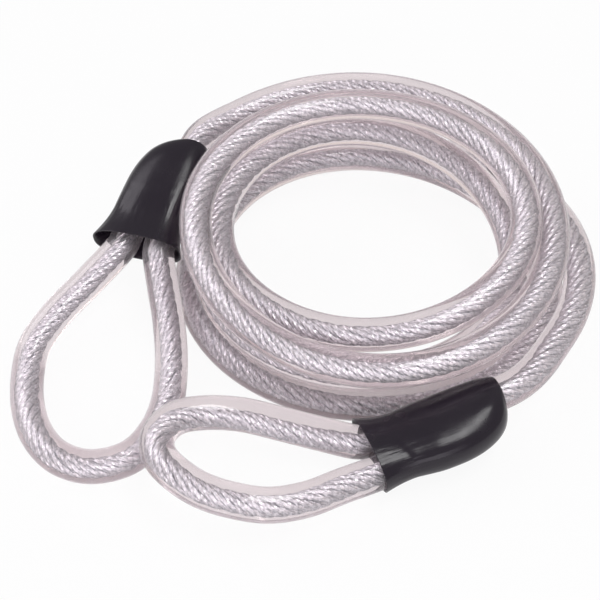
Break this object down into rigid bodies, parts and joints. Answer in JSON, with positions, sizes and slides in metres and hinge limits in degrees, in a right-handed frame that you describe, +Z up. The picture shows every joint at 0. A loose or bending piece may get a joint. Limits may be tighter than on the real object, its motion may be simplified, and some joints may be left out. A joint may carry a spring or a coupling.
{
  "type": "security cable",
  "caption": "Coiled security cable: steel wire rope in a clear jacket, with a closed eye at each end held by a ferrule under a black cap.",
  "frame": {"origin": "middle of the whole coiled cable in plan, on the surface that it lies on", "axes": "+Z up from the surface that the coil lies on, -Y to the front where eye B lies, +X to the right, away from eye A"},
  "size_m": [0.216, 0.208, 0.0511],
  "materials": {
    "wire_rope": "galvanised steel strands laid up into a rope, bright, fine wires",
    "clear_jacket": "clear soft PVC, glossy, faintly violet",
    "ferrule_metal": "pressed aluminium, satin",
    "black_cap": "black soft PVC, semi-gloss, slightly creased"
  },
  "bodies": {
    "root": {"rope": "wire_rope", "jacket_coil": "clear_jacket", "jacket_eye_a": "clear_jacket", "jacket_eye_b": "clear_jacket", "ferrule_a": "ferrule_metal", "ferrule_b": "ferrule_metal", "cap_a_shell": "black_cap", "cap_b_shell": "black_cap"}
  },
  "joints": []
}
